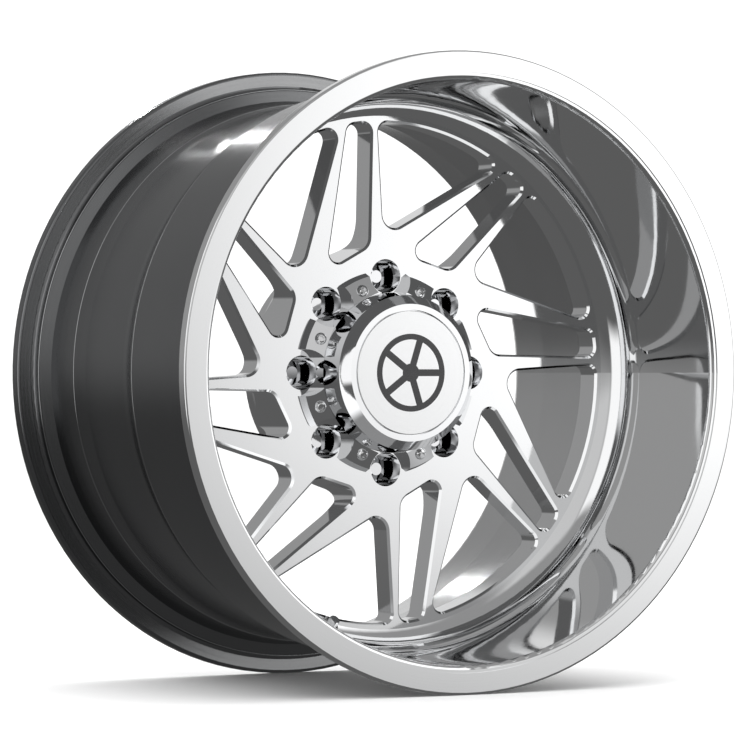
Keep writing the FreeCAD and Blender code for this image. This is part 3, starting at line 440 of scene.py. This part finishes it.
# What reflections see. Each softbox: bearing from, to and blur, height from, to and blur, in
# degrees, then its brightness. Bearing 0 is straight in front of the wheel's face, and grows
# towards +X.
SOFTBOXES = [
    ((-44, 8, 14), (2, 46, 10), 0.6),
    ((27.5, 64, 12), (-3.5, 38, 11), 1.3),
    ((-88, -46, 6), (-12, 42, 8), 1.05),
    ((96, 165, 10), (-6, 30, 8), 0.72),
]
# The room behind the softboxes: its brightness below and above the horizon's band of heights.
ROOM_EDGE = (-9, 4)
ROOM_TONES = (0.11, 0.3)
# The plain sky that everything but reflections sees.
SKY = 1.2

# Each light: where it stands, what it points at, its width and length, and its power in watts.
LIGHTS = {
    "key_softbox": ((-2.2, -2.6, 3.0), (0, 0, 0), (2.4, 2.4), 60),
    "top_softbox": ((0.6, 0.6, 3.2), (0, 0, 0), (3.0, 3.0), 60),
    "back_softbox": ((0.785, 3.61, 1.84), (-0.12, 0.1, 0.2), (0.08, 0.1), 2.6),
}

FLOOR_HALF = 30.0
FLOOR_GAP = 0.1 * MM


def studio_world():
    """White to the eye. Reflections see a dim studio with softboxes, darker below the horizon."""
    world = bpy.data.worlds.new("studio")
    scene.world = world
    world.use_nodes = True
    graph = Graph(world.node_tree)
    output = graph.tree.nodes.new("ShaderNodeOutputWorld")
    background = graph.tree.nodes.new("ShaderNodeBackground")
    graph.tree.links.new(background.outputs[0], output.inputs["Surface"])
    coordinates = graph.tree.nodes.new("ShaderNodeTexCoord")
    x, y, z = graph.parts(coordinates.outputs["Generated"])
    bearing = graph.math("ARCTAN2", x, graph.math("MULTIPLY", y, -1.0))
    height = graph.math("ARCSINE", z)
    light = graph.span(height, *map(math.radians, ROOM_EDGE), *ROOM_TONES)
    for bearings, heights, strength in SOFTBOXES:
        mask = graph.window(bearing, *bearings)
        mask = graph.math("MULTIPLY", mask, graph.window(height, *heights))
        light = graph.mix(mask, light, strength)
    rays = graph.tree.nodes.new("ShaderNodeLightPath")
    seen = graph.mix(rays.outputs["Is Glossy Ray"], SKY, light)
    graph.tree.links.new(seen, background.inputs["Color"])


def area_light(name, place, target, size, power):
    data = bpy.data.lights.new(name, "AREA")
    data.shape = "RECTANGLE"
    data.size, data.size_y = size
    data.energy = power
    lamp = bpy.data.objects.new(name, data)
    scene.collection.objects.link(lamp)
    lamp.location = place
    lamp.rotation_euler = (Vector(target) - Vector(place)).to_track_quat("-Z", "Y").to_euler()
    return lamp


def studio_floor():
    """A pale sweep that the wheel stands on, which reflections don't see."""
    mesh = bpy.data.meshes.new("floor")
    build = bmesh.new()
    bmesh.ops.create_grid(build, x_segments=1, y_segments=1, size=FLOOR_HALF)
    build.to_mesh(mesh)
    build.free()
    floor = bpy.data.objects.new("floor", mesh)
    scene.collection.objects.link(floor)
    floor.location = (0, 0, cad_box[0][2] - FLOOR_GAP)
    shade = Shade("floor_paper", Roughness=0.9)
    fibre = shade.grain(60.0)
    colour = shade.mix_colour(fibre, (0.93, 0.93, 0.93), (0.95, 0.95, 0.95))
    floor.data.materials.append(shade.finish(colour, None))
    floor.visible_glossy = False


def limit_light(lamp, lit, shading):
    """Lets a lamp light one node only, and be shaded by another one only."""
    receivers = bpy.data.collections.new("rim_light_receivers")
    receivers.objects.link(nodes[lit])
    lamp.light_linking.receiver_collection = receivers
    blockers = bpy.data.collections.new("rim_light_blockers")
    blockers.objects.link(nodes[shading])
    lamp.light_linking.blocker_collection = blockers


studio_world()
studio_floor()
lamps = {name: area_light(name, *settings) for name, settings in LIGHTS.items()}
for name in ("key_softbox", "top_softbox"):
    lamps[name].visible_glossy = False
# The inboard flange would hide the barrel's drop well from the highlight's lamp.
limit_light(lamps["back_softbox"], lit="barrel", shading="spoke_centre")


# ---------------------------------------------------------------- camera

# In metres, degrees and, for the lens and sensor, millimetres.
CAMERA_PLACE = (-1.9408, -3.336, -0.002)
CAMERA_TURN = -30.216
CAMERA_LENS = 209.44
CAMERA_SENSOR = 36.0
CAMERA_REACH = 200.0


def make_camera():
    """Level with the axle, thirty degrees round to the wheel's left."""
    turn = math.radians(CAMERA_TURN)
    data = bpy.data.cameras.new("camera")
    data.sensor_width = CAMERA_SENSOR
    data.lens = CAMERA_LENS
    data.clip_end = CAMERA_REACH
    camera = bpy.data.objects.new("camera", data)
    scene.collection.objects.link(camera)
    ahead = Vector((-math.sin(turn), math.cos(turn), 0))
    camera.location = CAMERA_PLACE
    camera.rotation_euler = ahead.to_track_quat("-Z", "Y").to_euler()
    scene.camera = camera


make_camera()
scene.view_settings.view_transform = "Standard"
scene.view_settings.look = "None"
